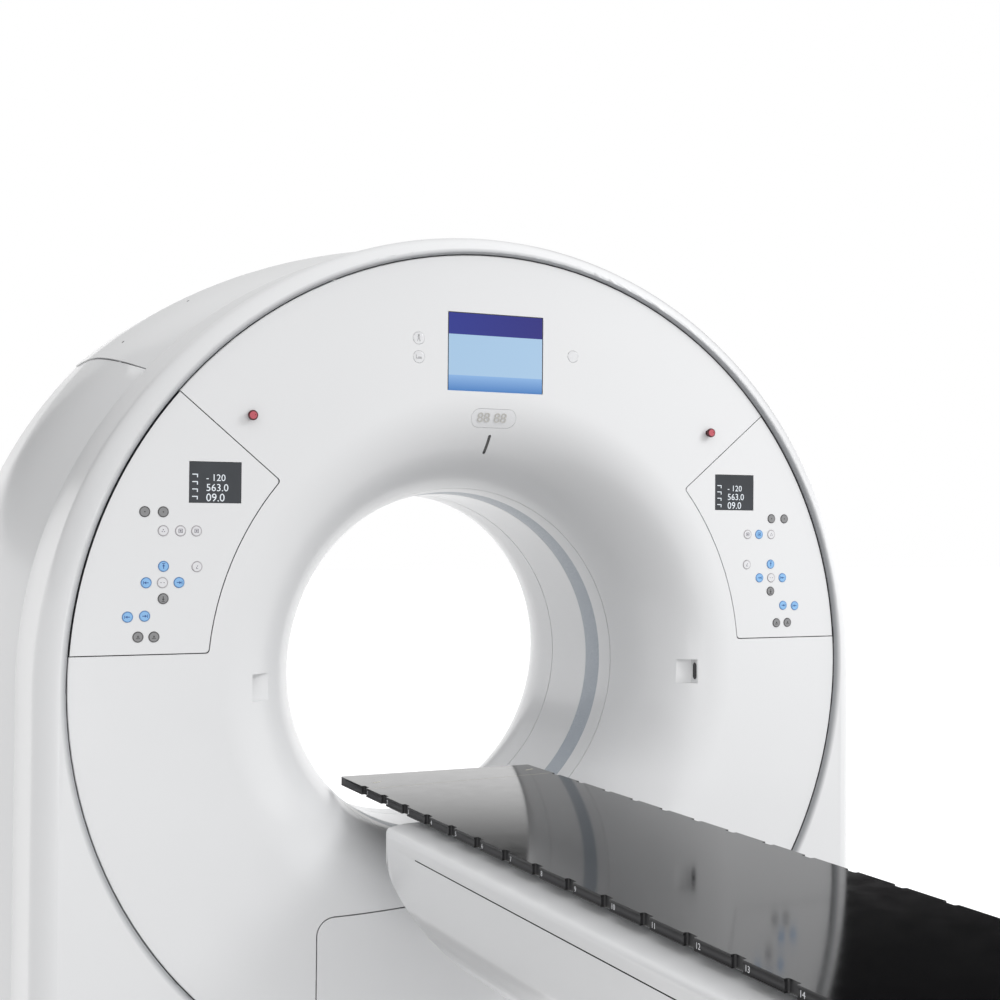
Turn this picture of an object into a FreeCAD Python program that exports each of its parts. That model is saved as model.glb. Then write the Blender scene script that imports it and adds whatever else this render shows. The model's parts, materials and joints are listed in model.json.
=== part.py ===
import FreeCAD, Part
import math
import os
from FreeCAD import Vector

# Computed-tomography scanner: a ring-shaped gantry and a patient couch, in millimetres.
# The origin is on the floor under the isocentre. +X is right, +Y runs through the bore away
# from the couch, +Z is up. Radii and local heights are measured from the bore axis.

# bore and front disc
axis_z = 1000.0          # bore axis above the floor
bore_r = 450.0
face_y = -320.0          # front face of the disc
bell_r = 700.0           # where the flat disc turns into the bell mouth
bell_depth = 350.0       # the bell reaches the bore radius this far behind the face
front_seam_y = -85.0
liner_end_y = 241.0
seam = 3.0               # gap between neighbouring covers
wall = 5.0               # thickness of the moulded covers
disc_r = 1040.0
disc_skirt = 25.0
cover_bottom = 15.0      # the covers end this far above the floor

# scan window film in the liner, centred on the scan plane
window_half = 35.5
window_recess = 2.2
window_sink = 0.4
window_thick = 1.5

# rim around the disc
arch_z = axis_z - 20.0   # centre of the rounded top of all outer covers
rim_front_y = -334.0
rim_rear_y = -70.0
rim_fillet = 65.0
rim_r = 1110.0
rim_rear_r = 1118.0
lip_r = 1058.0           # the lip rounds over from here in to lip_inner_r
lip_inner_r = 1042.0
lip_back_y = -300.0
lip_thick = 4.0

# side, top and rear covers
side_front_y = rim_rear_y + 4.0
cover_front_r = 1116.0
side_r = 1202.0
top_r = 1319.0            # the top cover is flatter: its own radius about a lower centre
top_drop = 179.0          # that centre's depth under the bore axis
end_wall_r = 1080.0       # the side covers' closed upper ends reach in to here
bulge_end_y = 380.0
rear_y = 610.0
rear_r = 1130.0
rear_gap = 2.0
top_corner_y = 538.0      # where the top cover starts to round down to the rear
shoulder_deg = 42.0      # the side covers reach this angle above the axis
flare_start_y = 308.0

# front inlays
panel_in_r = 725.0
panel_out_r = 1037.5
panel_top_deg = 40.0     # the panel's upper edge is radial, this far above the horizontal
panel_low = 66.0         # height of its lower edge over the axis
panel_thick = 6.0
panel_corner = 9.0
panel_gap = 1.25         # on each side of the joint line
service_half = 457.0
service_top = -568.0
service_corner = 45.0
display_gap = 1.0
screen_sink = 0.5
centre_screen = (-130.5, 130.5, 699.7, 893.4)    # x and local z limits
side_screen = (650.5, 771.5, 412.5, 506.3)
screen_depth = 29.0
side_screen_depth = 19.0

# keys, given for the right-hand side and mirrored on the left: x and local z
key_places = {
    "lamp_outer": (873.0, 390.0),
    "lamp_inner": (831.0, 390.0),
    "preset_outer": (830.5, 347.0),
    "preset_middle": (791.0, 347.0),
    "preset_inner": (754.0, 347.0),
    "table_up": (829.0, 266.0),
    "laser": (752.0, 265.0),
    "table_out": (868.0, 229.0),
    "centre": (831.0, 229.0),
    "table_in": (793.0, 229.0),
    "table_down": (829.0, 192.5),
    "fast_outer": (909.0, 152.0),
    "fast_inner": (870.5, 153.5),
    "home_outer": (885.0, 106.5),
    "home_inner": (849.0, 106.0),
}
key_r = 12.0
key_clear = 0.6
key_proud = 1.2
key_back = 2.0           # the key's flange sits this far behind the panel
key_flange_r = 14.5
key_flange = 2.5
stop_x = 627.4
stop_z = 617.2
stop_head_r = 12.0
stop_stem_r = 8.0
stop_clear = 0.6
stop_rise = 11.0
stop_head = 6.0
stop_stem = 30.0

# lamps, countdown window and laser windows
lamp_places = ((-209.0, 823.0), (-208.0, 777.0), (217.0, 800.0))
lamp_r = 15.0
lens_gap = 0.6
count_w = 124.0
count_h = 47.0
count_z = 634.0
slit_w = 8.0
slit_low = 547.0
slit_high = 594.0
pocket_x = 612.0         # wall of the side pocket that holds the laser window
pocket_in_x = 540.0
pocket_y = face_y + 55.0
pocket_z = -21.0
pocket_half = 32.0
pocket_window = (19.0, 45.0)

# fixed frame
base_half = 1040.0
base_front_y = -280.0
base_rear_y = 590.0
base_thick = 25.0
anchor_x = 800.0
anchor_y = 250.0
anchor_r = 9.0
carrier_in_r = 560.0
carrier_out_r = 880.0
carrier_y = 168.0
carrier_thick = 40.0
pedestal_in = 420.0
pedestal_out = 700.0
pedestal_depth = 160.0
pedestal_top = -450.0

# rotor and what it carries
rotor_in_r = 520.0
rotor_out_r = 900.0
rotor_y = 95.0
rotor_thick = 30.0
drum_front_y = -150.0
drum_wall = 12.0
spigot_in_r = 562.0
race_in_r = 600.0
race_out_r = 650.0
race_clear = 1.0
race_y = 130.0
stator_in_r = 903.0
stator_out_r = 940.0
slip_in_r = 700.0
slip_out_r = 860.0
slip_thick = 12.0
focus_r = 700.0          # focal spot from the bore axis
detector_r = 1250.0      # detector face from the focal spot
detector_deep = 90.0
detector_half_deg = 24.0
detector_half_y = 60.0
tube_r = 100.0
tube_z = 740.0
module_in = 600.0
module_out = 860.0
module_half = 190.0
module_front_y = -140.0

# couch
top_half = 274.0
top_z = 702.0
top_thick = 22.0
top_far_y = 41.0
top_length = 2540.0
notch_first_y = -137.3
notch_pitch = 140.0
notch_count = 17
notch_w = 32.0
notch_deep = 9.0
notch_corner = 4.0
skin_top = 4.5           # the top's outer skins stand proud of its edge between the notches
skin_low = 2.5
skin_proud = 1.0
cradle_half = 250.0
cradle_low_half = 226.0
cradle_z = 677.0
cradle_thick = 11.0
cradle_far_y = -290.0
cradle_near_y = -2480.0
body_half = 330.0
body_low_half = 210.0
body_top = 664.0
body_crown_half = 240.0  # the top is level up to here and falls away to the side
body_crown_drop = 8.5
body_edge_z = 535.0
body_bottom = 385.0
body_far_y = -427.0
body_low_far_y = -549.0
body_low_z = 505.0
body_keel_far_y = -830.0
body_plan_corner = 22.0
body_near_y = -2500.0
body_wall = 6.0
column_y = -1425.0
foot_half = 300.0
foot_length = 1100.0
foot_thick = 40.0
sleeve_half = 190.0
sleeve_length = 660.0
sleeve_top = 330.0
column_clear = 4.0
column_low = 95.0
couch_anchor_x = 250.0
couch_anchor_y = 475.0
couch_anchor_r = 7.0

far = 3000.0             # longer than anything it has to cut
y_dir = Vector(0, 1, 0)
centre = Vector(0, 0, axis_z)
os.makedirs("parts", exist_ok=True)


def save(shape, node):
    shape.exportStep("parts/" + node + ".step")


def box(x0, x1, y0, y1, z0, z1):
    return Part.makeBox(x1 - x0, y1 - y0, z1 - z0, Vector(x0, y0, z0))


def rod(x, z, radius, y0, y1):
    return Part.makeCylinder(radius, y1 - y0, Vector(x, y0, z), y_dir)


def ring(inner, outer, y0, y1):
    return rod(0, axis_z, outer, y0, y1).cut(rod(0, axis_z, inner, y0 - 1, y1 + 1))


def mirror_x(shape):
    return shape.mirror(Vector(0, 0, 0), Vector(1, 0, 0))


def polygon_prism(points, y0, y1):
    # a prism along Y over an outline given as x and height over the axis
    corners = [Vector(x, y0, axis_z + z) for x, z in points]
    return Part.Face(Part.makePolygon(corners + corners[:1])).extrude(Vector(0, y1 - y0, 0))


def radial_face(edges):
    # a section in the plane of the bore axis; x is the radius
    return Part.Face(Part.Wire(edges))


def at(radius, y):
    return Vector(radius, y, axis_z)


def chain(points):
    return [Part.LineSegment(a, b).toShape() for a, b in zip(points, points[1:])]


def spin(face):
    turned = face.revolve(centre, y_dir, 360)
    return turned if turned.Volume > 0 else turned.reversed()


def ellipse_arc(centre_y, depth, offset, turn0, turn1):
    # a quarter-ellipse section: depth is signed along Y, offset moves the curve into the wall
    middle = at(bell_r, centre_y)
    reach = depth * (1 - offset / abs(depth))
    tip = middle + Vector(0, reach, 0)
    side = middle - Vector(bell_r - bore_r - offset, 0, 0)
    return Part.ArcOfEllipse(Part.Ellipse(tip, side, middle), turn0, turn1).toShape()


def bell_curve(offset, y0, y1):
    # the bell's section from y0 to y1, which may run on along the cylindrical bore
    waist_y = face_y + bell_depth
    reach = bell_depth - offset
    turn0 = math.acos(min(1.0, (waist_y - y0) / reach))
    turn1 = math.acos(max(0.0, (waist_y - y1) / reach))
    edges = [ellipse_arc(waist_y, -bell_depth, offset, turn0, turn1)]
    if y1 > waist_y:
        edges += chain([at(bore_r + offset, waist_y), at(bore_r + offset, y1)])
    return edges


def edge_ends(edges):
    first = edges[0].valueAt(edges[0].FirstParameter)
    last = edges[-1].valueAt(edges[-1].LastParameter)
    return first, last


def bell_wall(offset0, offset1, y0, y1):
    near = bell_curve(offset0, y0, y1)
    back = bell_curve(offset1, y0, y1)
    near_start, near_end = edge_ends(near)
    back_start, back_end = edge_ends(back)
    ends = chain([near_end, back_end]), chain([back_start, near_start])
    return spin(radial_face(near + ends[0] + back[::-1] + ends[1]))


def arch_solid(profile):
    # an outer cover shape: the section turned over the top, and run straight down to the floor line
    half = Part.Face(Part.Wire(profile))
    drop = half.extrude(Vector(0, 0, cover_bottom - arch_z))
    dome = half.revolve(Vector(0, 0, arch_z), y_dir, -180)
    return dome.fuse([drop, mirror_x(drop)]).removeSplitter()


def arch_point(radius, y):
    return Vector(radius, y, arch_z)


def corner_arc(x, y, radius, turn):
    # a quarter round at the outer edge of a cover: turn 1 ends a rear corner, -1 starts a front one
    half = math.sqrt(0.5) * radius
    ends = [arch_point(x + radius, y), arch_point(x + half, y + turn * half), arch_point(x, y + turn * radius)]
    return Part.Arc(*(ends if turn > 0 else ends[::-1])).toShape()


def rim_profile(inset, front_y, rear_y_limit):
    fillet = rim_fillet - inset
    corner_x = rim_r - rim_fillet
    corner_y = rim_front_y + rim_fillet
    line0 = chain([arch_point(0, front_y), arch_point(corner_x, front_y)])
    line1 = chain([arch_point(rim_r - inset, corner_y), arch_point(rim_rear_r - inset, rear_y_limit),
                   arch_point(0, rear_y_limit), arch_point(0, front_y)])
    return line0 + [corner_arc(corner_x, corner_y, fillet, -1)] + line1


def cover_profile(outer_r, inset, front_y, back_y):
    corner = outer_r - rear_r
    corner_y = rear_y - corner
    bulge = Part.BezierCurve()
    reach = bulge_end_y - side_front_y
    swell = outer_r - cover_front_r
    bulge.setPoles([arch_point(cover_front_r - inset, front_y),
                    arch_point(cover_front_r + swell * 0.5 - inset, side_front_y + reach * 0.3),
                    arch_point(outer_r - inset, side_front_y + reach * 0.62),
                    arch_point(outer_r - inset, bulge_end_y)])
    line0 = chain([arch_point(0, front_y), arch_point(cover_front_r - inset, front_y)])
    line1 = chain([arch_point(outer_r - inset, bulge_end_y), arch_point(outer_r - inset, corner_y)])
    line2 = chain([arch_point(rear_r, back_y), arch_point(0, back_y), arch_point(0, front_y)])
    return line0 + [bulge.toShape()] + line1 + [corner_arc(rear_r, corner_y, corner - inset, 1)] + line2


def flat_profile(radius, y0, y1):
    return chain([arch_point(0, y0), arch_point(radius, y0), arch_point(radius, y1),
                  arch_point(0, y1), arch_point(0, y0)])


def floor_cut(shape):
    return shape.cut(box(-far, far, -far, far, -far, cover_bottom))


def round_edges(shape, radius, choose):
    # rounds the straight edges that run along Y and whose middle passes the test
    edges = []
    for edge in shape.Edges:
        a, b = edge.Vertexes[0].Point, edge.Vertexes[-1].Point
        along = abs(a.x - b.x) < 0.01 and abs(a.z - b.z) < 0.01
        if along and choose(a.x, a.z - axis_z):
            edges.append(edge)
    return shape.makeFillet(radius, edges)


def oval_prism(x, z, width, height, y0, y1):
    # a slot shape with full round ends, along Y
    short = min(width, height) * 0.5
    reach = max(width, height) * 0.5 - short
    along = Vector(1, 0, 0) if width > height else Vector(0, 0, 1)
    middle = Vector(x, 0, axis_z + z)
    ends = [middle + along * reach, middle - along * reach]
    rods = [rod(end.x, end.z, short, y0, y1) for end in ends]
    half_x = reach if width > height else short
    half_z = short if width > height else reach
    core = box(x - half_x, x + half_x, y0, y1, axis_z + z - half_z, axis_z + z + half_z)
    return core.fuse(rods).removeSplitter()


def control_panel_prism(grow, outer, y0, y1):
    # the left panel's outline: annular sector between the radial top edge and the level lower edge
    c = math.cos(math.radians(panel_top_deg))
    s = math.sin(math.radians(panel_top_deg))
    low = panel_low - grow
    slide = (low - grow * c) / s
    apex = (grow * s - slide * c, low)
    top_end = (grow * s - far * c, grow * c + far * s)
    wedge = polygon_prism([apex, top_end, (-far, low)], y0, y1)
    sector = ring(panel_in_r - grow, outer, y0, y1).common(wedge)
    return round_edges(sector, panel_corner, lambda x, z: math.hypot(x, z) < panel_in_r + 5)


def service_prism(shrink):
    half = service_half - shrink
    block = box(-half, half, face_y - 50, face_y + 200, -far, axis_z + service_top - shrink)
    return round_edges(block, service_corner - shrink, lambda x, z: z > service_top - 10)


def screen_box(limits, grow, y0, y1):
    x0, x1, z0, z1 = limits
    return box(x0 - grow, x1 + grow, y0, y1, axis_z + z0 - grow, axis_z + z1 + grow)


def pocket_box(grow):
    return box(pocket_in_x - grow, pocket_x + grow, face_y + 5, pocket_y + grow,
               axis_z + pocket_z - pocket_half - grow, axis_z + pocket_z + pocket_half + grow)


def pocket_window_plate(grow, x0, x1):
    # an upright oval plate in the pocket's wall, facing the bore axis
    width, height = pocket_window
    plate = oval_prism(0, 0, width + grow * 2, height + grow * 2, 0, x1 - x0)
    plate.rotate(centre, Vector(0, 0, 1), -90)
    plate.translate(Vector(x0, pocket_y - 17.0, pocket_z))
    return plate


def front_shell():
    # disc with a skirt behind its edge, running into the bell mouth
    near = bell_curve(0, face_y, front_seam_y)
    back = bell_curve(wall, face_y + wall, front_seam_y)
    near_start, near_end = edge_ends(near)
    back_start, back_end = edge_ends(back)
    rest = chain([near_end, back_end])
    rim = chain([back_start, at(disc_r - wall, face_y + wall), at(disc_r - wall, face_y + disc_skirt),
                 at(disc_r, face_y + disc_skirt), at(disc_r, face_y + 2), at(disc_r - 2, face_y), near_start])
    shell = spin(radial_face(near + rest + back + rim))
    near = bell_curve(0, face_y, front_seam_y)
    bulk_rim = chain([near_end, at(bell_r + 60, front_seam_y), at(bell_r + 60, face_y), near_start])
    behind = spin(radial_face(near + bulk_rim))
    pockets = [pocket_box(wall), mirror_x(pocket_box(wall))]
    return floor_cut(shell.fuse([behind.common(p) for p in pockets]))


def make_front():
    shell = front_shell()
    inside = pocket_box(0)
    holes = [inside, mirror_x(inside)]
    window = pocket_window_plate(lens_gap, pocket_x - 1, pocket_x + wall + 1)
    holes += [window, mirror_x(window)]
    cut_y0, cut_y1 = face_y - 50, face_y + 200
    panel_cut = control_panel_prism(panel_gap, disc_r + 1, cut_y0, cut_y1)
    holes += [panel_cut, mirror_x(panel_cut), service_prism(0)]
    holes.append(screen_box(centre_screen, display_gap, cut_y0, cut_y1))
    for side in (-1, 1):
        holes.append(rod(side * stop_x, axis_z + stop_z, stop_stem_r + stop_clear, cut_y0, cut_y1))
    for x, z in lamp_places:
        holes.append(rod(x, axis_z + z, lamp_r + lens_gap, cut_y0, cut_y1))
    count = oval_prism(0, count_z, count_w, count_h, cut_y0, cut_y1)
    slit_mid = (slit_low + slit_high) / 2
    slit_h = slit_high - slit_low
    slit = oval_prism(0, slit_mid, slit_w, slit_h, cut_y0, cut_y1)
    save(shell.cut(holes + [count, slit]), "front_cover")
    save(shell.common(service_prism(seam)), "service_panel")

    # every lens fills its opening but for an even gap
    gap2 = lens_gap * 2
    lenses = [shell.common(oval_prism(0, count_z, count_w - gap2, count_h - gap2, cut_y0, cut_y1))]
    lenses.append(shell.common(oval_prism(0, slit_mid, slit_w - gap2, slit_h - gap2, cut_y0, cut_y1)))
    for x, z in lamp_places:
        lenses.append(rod(x, axis_z + z, lamp_r, face_y - 0.3, face_y + 8))
    plate = pocket_window_plate(0, pocket_x + 0.5, pocket_x + wall - 0.5)
    lenses += [plate, mirror_x(plate)]
    save(Part.makeCompound([solid for lens in lenses for solid in lens.Solids]), "signal_lenses")


def make_panels():
    plate = control_panel_prism(-panel_gap, panel_out_r, face_y, face_y + panel_thick)
    cut_y0, cut_y1 = face_y - 1, face_y + panel_thick + 1
    holes = [mirror_x(screen_box(side_screen, display_gap, cut_y0, cut_y1))]
    for x, z in key_places.values():
        holes.append(rod(-x, axis_z + z, key_r + key_clear, cut_y0, cut_y1))
    left = plate.cut(holes)
    save(left, "left_control_panel")
    save(mirror_x(left), "right_control_panel")


def make_screens():
    centre_box = screen_box(centre_screen, 0, face_y + screen_sink, face_y + screen_depth)
    save(round_edges(centre_box, 3.0, lambda x, z: True), "centre_display")
    side = screen_box(side_screen, 0, face_y + screen_sink, face_y + side_screen_depth)
    side = round_edges(side, 2.0, lambda x, z: True)
    save(Part.makeCompound([side, mirror_x(side)]), "side_displays")


def make_key(x, z):
    cap_end = face_y + panel_thick + key_back
    cap = rod(x, z, key_r, face_y - key_proud, cap_end)
    front = [edge for edge in cap.Edges if edge.BoundBox.YMax < face_y]
    cap = cap.makeFillet(0.6, front)
    return cap.fuse(rod(x, z, key_flange_r, cap_end, cap_end + key_flange))


def make_stop(x, z):
    head = rod(x, z, stop_head_r, face_y - stop_rise - stop_head, face_y - stop_rise)
    front = [edge for edge in head.Edges if edge.BoundBox.YMax < face_y - stop_rise - stop_head + 0.1]
    head = head.makeFillet(3.0, front)
    return head.fuse(rod(x, z, stop_stem_r, face_y - stop_rise, face_y + stop_stem - stop_rise))


def make_buttons():
    for side_name, side in (("left", -1), ("right", 1)):
        for name, (x, z) in key_places.items():
            save(make_key(side * x, axis_z + z), side_name + "_key_" + name)
        save(make_stop(side * stop_x, axis_z + stop_z), side_name + "_stop_button")


def make_liner():
    start_y = front_seam_y + seam
    liner = bell_wall(0, 6.0, start_y, liner_end_y)
    liner = liner.cut(bell_wall(-1.0, window_recess, -window_half, window_half))
    save(liner, "bore_liner")
    film_half = window_half - 0.5
    save(bell_wall(window_sink, window_sink + window_thick, -film_half, film_half), "scan_window")


def make_rim():
    outer = arch_solid(rim_profile(0, rim_front_y, rim_rear_y))
    inner = arch_solid(rim_profile(wall, rim_front_y + wall, rim_rear_y + 1))
    shell = outer.cut([inner, rod(0, axis_z, lip_r + 2, rim_front_y - 10, rim_front_y + 30)])
    roll = lip_r - lip_inner_r
    bend = roll * (1 - math.sqrt(0.5))
    round_over = Part.Arc(at(lip_inner_r, rim_front_y + roll), at(lip_inner_r + bend, rim_front_y + bend),
                          at(lip_r, rim_front_y)).toShape()
    back = chain([at(lip_r, rim_front_y), at(lip_r, rim_front_y - 2), at(lip_r + 6, rim_front_y - 2),
                  at(lip_r + 6, rim_front_y + wall + 3), at(lip_inner_r + lip_thick, rim_front_y + roll + 6),
                  at(lip_inner_r + lip_thick, lip_back_y), at(lip_inner_r, lip_back_y),
                  at(lip_inner_r, rim_front_y + roll)])
    lip = spin(radial_face([round_over] + back))
    save(floor_cut(shell.fuse(lip.common(outer))).removeSplitter(), "rim_cover")


def shoulder_wedge(drop):
    c = math.cos(math.radians(shoulder_deg))
    s = math.sin(math.radians(shoulder_deg))
    low = -drop / c
    points = [(0, low), (far * c, low + far * s), (0, 2 * far), (-far * c, low + far * s)]
    return polygon_prism(points, -far, far)


def top_slice(y, radius, low):
    # a pie of the top cover's section: an arc about a centre at height low, closed through it
    middle = Vector(0, y, low)
    c = radius * math.cos(math.radians(25))
    s = radius * math.sin(math.radians(25))
    ends = middle + Vector(c, 0, s), middle + Vector(-c, 0, s)
    arc = Part.Arc(ends[0], middle + Vector(0, 0, radius), ends[1]).toShape()
    return Part.Wire([arc] + chain([ends[1], middle, ends[0]]))


def top_block(inset, start_y, end_y):
    # round at the front, flatter and wider from the bulge on, rounded down to the rear opening
    reach = bulge_end_y - side_front_y
    full_low = axis_z - top_drop
    slices = []
    if start_y < side_front_y:
        slices.append(top_slice(start_y, cover_front_r - inset, arch_z))
    for i in range(13):
        u = i / 12
        along = 0.9 * u * (1 - u) ** 2 + 1.86 * u * u * (1 - u) + u ** 3
        swell = 1.5 * u * (1 - u) ** 2 + 3 * u * u * (1 - u) + u ** 3
        radius = cover_front_r + (top_r - cover_front_r) * swell - inset
        slices.append(top_slice(side_front_y + reach * along, radius, arch_z + (full_low - arch_z) * swell))
    depth = end_y - top_corner_y
    for i in range(8):
        angle = math.pi / 2 * i / 7
        turn = 1 - math.cos(angle)
        radius = top_r + (rear_r - top_r) * turn - inset
        slices.append(top_slice(top_corner_y + depth * math.sin(angle), radius,
                                full_low + (arch_z - full_low) * turn))
    block = Part.makeLoft(slices, True, True)
    return block if block.Volume > 0 else block.reversed()


def make_outer_covers():
    rear_opening = arch_solid(flat_profile(rear_r, rear_y - 10, rear_y + 1))
    side_out = arch_solid(cover_profile(side_r, 0, side_front_y, rear_y))
    side_in = arch_solid(cover_profile(side_r, wall, side_front_y, rear_y - wall))
    open_front = arch_solid(flat_profile(cover_front_r - wall, side_front_y - 1, side_front_y + 5))
    side_out = side_out.cut(shoulder_wedge(0))
    side_in = side_in.cut(shoulder_wedge(wall))
    middle = rod(0, axis_z, end_wall_r, -far, far)
    sides = side_out.cut([side_in, rear_opening, open_front, middle])
    pieces = sorted(sides.Solids, key=lambda solid: solid.CenterOfMass.x)
    save(pieces[0], "left_side_cover")
    save(pieces[-1], "right_side_cover")

    top = top_block(0, side_front_y, rear_y).cut(top_block(wall, side_front_y - 2, rear_y - wall))
    save(top.cut(rear_opening).common(shoulder_wedge(-seam)), "top_cover")


def make_rear():
    plate = arch_solid(flat_profile(rear_r - rear_gap, rear_y - wall, rear_y))
    plate = plate.cut(rod(0, axis_z, bell_r + 2, rear_y - 20, rear_y + 20))
    depth = rear_y - flare_start_y
    near = ellipse_arc(flare_start_y, depth, 0, 0, math.pi / 2)
    back = ellipse_arc(flare_start_y, depth, wall, 0, math.pi / 2)
    start_y = liner_end_y + seam
    throat = chain([at(bore_r, flare_start_y), at(bore_r, start_y), at(bore_r + wall, start_y),
                    at(bore_r + wall, flare_start_y)])
    brim = chain([at(bell_r, rear_y - wall), at(bell_r + 5, rear_y - wall), at(bell_r + 5, rear_y),
                  at(bell_r, rear_y)])
    flare = spin(radial_face([near] + throat + [back] + brim))
    save(floor_cut(plate.fuse(flare)).removeSplitter(), "rear_cover")


def make_frame():
    base = box(-base_half, base_half, base_front_y, base_rear_y, 0, base_thick)
    carrier = ring(carrier_in_r, carrier_out_r, carrier_y, carrier_y + carrier_thick)
    block = box(pedestal_in, pedestal_out, carrier_y, carrier_y + pedestal_depth,
                base_thick, axis_z + pedestal_top)
    block = block.cut(rod(0, axis_z, carrier_in_r, -far, far))
    frame = base.fuse([carrier, block, mirror_x(block)])
    for x in (-anchor_x, anchor_x):
        for y in (-anchor_y, anchor_y):
            frame = frame.cut(Part.makeCylinder(anchor_r, base_thick + 2, Vector(x, y, -1)))
    save(frame.removeSplitter(), "gantry_frame")


def make_rotor():
    plate_end = rotor_y + rotor_thick
    plate = ring(rotor_in_r, rotor_out_r, rotor_y, plate_end)
    drum = ring(rotor_in_r, rotor_in_r + drum_wall, drum_front_y, rotor_y)
    spigot = ring(spigot_in_r, race_in_r - race_clear, plate_end, race_y + 30)
    save(plate.fuse([drum, spigot]).removeSplitter(), "rotor_drum")
    save(ring(race_in_r, race_out_r, race_y, carrier_y), "main_bearing")
    save(ring(slip_in_r, slip_out_r, plate_end, plate_end + slip_thick), "slip_ring")
    brush_y = plate_end + slip_thick + 2
    save(box(-40, 40, brush_y, carrier_y, axis_z + slip_in_r, axis_z + slip_out_r), "brush_block")
    stator = radial_face(chain([
        at(stator_in_r, rotor_y - 5), at(stator_out_r, rotor_y - 5), at(stator_out_r, carrier_y),
        at(slip_out_r + 5, carrier_y), at(slip_out_r + 5, carrier_y - 18),
        at(stator_in_r, carrier_y - 18), at(stator_in_r, rotor_y - 5)]))
    save(spin(stator), "drive_stator")


def make_imaging():
    tube = rod(0, axis_z + tube_z, tube_r, drum_front_y, rotor_y)
    collimator = box(-70, 70, -60, 60, axis_z + 590, axis_z + tube_z - 60)
    save(tube.fuse(collimator), "xray_tube")

    spread = math.radians(detector_half_deg)
    y0, y1 = -detector_half_y, detector_half_y
    blade = polygon_prism([(0, focus_r), (far * math.sin(spread), focus_r - far * math.cos(spread)),
                           (-far * math.sin(spread), focus_r - far * math.cos(spread))], y0, y1)
    arc = rod(0, axis_z + focus_r, detector_r + detector_deep, y0, y1)
    arc = arc.cut(rod(0, axis_z + focus_r, detector_r, y0 - 1, y1 + 1))
    leg = box(-80, 80, detector_half_y, rotor_y, axis_z - 640, axis_z - 560)
    save(arc.common(blade).fuse(leg), "detector_array")

    module = box(module_in, module_out, module_front_y, rotor_y, axis_z - module_half, axis_z + module_half)
    save(Part.makeCompound([module, mirror_x(module)]), "power_modules")


def round_plan(x_half, y0, y1, z0, z1, radius):
    # a block whose upright edges are rounded
    block = box(-x_half, x_half, y0, y1, z0, z1)
    upright = [edge for edge in block.Edges if edge.BoundBox.ZLength > z1 - z0 - 0.01]
    return block.makeFillet(radius, upright)


def section_prism(points, y0, y1):
    # a symmetrical cross-section, given as the right half from top to bottom, run along Y
    right = [Vector(x, y0, z) for x, z in points]
    left = [Vector(-x, y0, z) for x, z in reversed(points)]
    loop = right + left
    return Part.Face(Part.makePolygon(loop + loop[:1])).extrude(Vector(0, y1 - y0, 0))


def hull_points(inset):
    # from the crowned top over its edge, down the side and in under the hull
    edge = 18.0
    x = body_half - inset
    top = body_top - inset
    rim_z = top - body_crown_drop - edge
    points = [(body_crown_half, top), (body_crown_half + 38, top - 1.8)]
    points += [(x - edge + edge * math.sin(math.radians(a)), rim_z + edge * math.cos(math.radians(a)))
               for a in range(12, 91, 13)]
    low = body_bottom + inset
    steps = 8
    for i in range(steps + 1):
        turn = math.pi / 2 * i / steps
        points.append((body_low_half + (x - body_low_half) * math.cos(turn),
                       body_edge_z - (body_edge_z - low) * math.sin(turn)))
    return points


def side_points(inset):
    # the couch body seen from the side: the far end sweeps back towards the keel
    top = body_top - inset
    low = body_bottom + inset
    points = [(body_near_y + inset, top)]
    steps = 10
    drop = body_top - body_low_z
    far_y = body_far_y - inset
    for i in range(4):
        turn = math.pi / 8 * i
        points.append((far_y - 10 + 10 * math.sin(turn), top - 10 + 10 * math.cos(turn)))
    for i in range(1, steps + 1):
        t = i / steps
        points.append((far_y - (body_far_y - body_low_far_y) * t ** 3, top - (drop - inset) * t))
    points += [(body_keel_far_y, low), (body_near_y + 150 + inset, low), (body_near_y + inset, body_low_z)]
    return [Vector(0, y, z) for y, z in points]


def hull(inset, corner):
    cross = section_prism(hull_points(inset), body_near_y - 50, body_far_y + 50)
    outline = side_points(inset)
    side = Part.Face(Part.makePolygon(outline + outline[:1])).extrude(Vector(body_half * 2, 0, 0))
    side.translate(Vector(-body_half, 0, 0))
    plan = round_plan(body_half - inset, body_near_y + inset, body_far_y - inset, 0, 1000, corner)
    return cross.common(side).common(plan)


def make_tabletop():
    far_y = top_far_y
    slab = round_plan(top_half, far_y - top_length, far_y, top_z - top_thick, top_z, 6.0)
    notches = []
    for i in range(notch_count):
        y = notch_first_y - notch_pitch * i
        for side in (-1, 1):
            x0, x1 = sorted((side * (top_half - notch_deep), side * (top_half + 9)))
            block = box(x0, x1, y - notch_w / 2, y + notch_w / 2, top_z - top_thick - 1, top_z + 1)
            upright = [edge for edge in block.Edges if edge.BoundBox.ZLength > top_thick]
            notches.append(block.makeFillet(notch_corner, upright))
    for side in (-1, 1):
        x0, x1 = sorted((side * (top_half - skin_proud), side * (top_half + 5)))
        notches.append(box(x0, x1, far_y - top_length - 5, far_y + 5, top_z - top_thick + skin_low, top_z - skin_top))
    save(slab.cut(notches), "tabletop")


def make_cradle():
    low = cradle_z - cradle_thick
    points = [(cradle_half, cradle_z), (cradle_half, cradle_z - 3)]
    steps = 6
    for i in range(1, steps + 1):
        turn = math.pi / 2 * i / steps
        points.append((cradle_low_half + (cradle_half - cradle_low_half) * math.cos(turn),
                       cradle_z - 3 - (cradle_thick - 3) * math.sin(turn)))
    cross = section_prism(points, cradle_near_y, cradle_far_y)
    plan = round_plan(cradle_half, cradle_near_y, cradle_far_y, low - 1, cradle_z + 1, 90.0)
    pad = round_plan(cradle_low_half, cradle_near_y + 40, cradle_far_y - 60, cradle_z,
                     top_z - top_thick, 60.0)
    save(cross.common(plan).fuse(pad), "cradle")


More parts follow.
